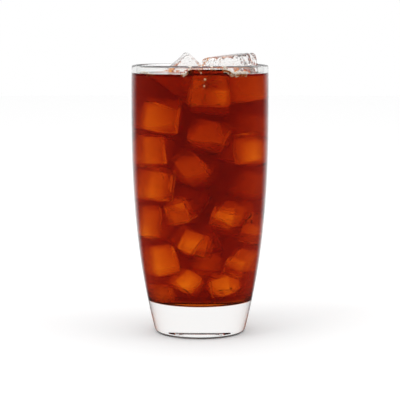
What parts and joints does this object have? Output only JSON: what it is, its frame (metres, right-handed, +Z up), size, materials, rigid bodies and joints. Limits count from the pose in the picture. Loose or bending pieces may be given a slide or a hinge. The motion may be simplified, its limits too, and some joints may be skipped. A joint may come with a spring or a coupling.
{
  "type": "iced coffee in a glass",
  "caption": "Tall clear tumbler with a heavy base, filled almost to the lip with dark iced coffee and floating ice cubes.",
  "frame": {"origin": "centre of the foot, on the surface that the glass stands on", "axes": "+Z up the axis of the glass; +X to the right and +Y away, seen from the front"},
  "size_m": [0.0766, 0.0765, 0.1566],
  "materials": {
    "glass": "clear soda-lime glass, fire polished",
    "coffee": "clear dark amber-brown liquid",
    "ice": "wet clear ice, edges melted round"
  },
  "bodies": {
    "root": {"tumbler": "glass", "coffee": "coffee", "ice_front": "ice", "ice_right": "ice", "ice_left": "ice"}
  },
  "joints": []
}
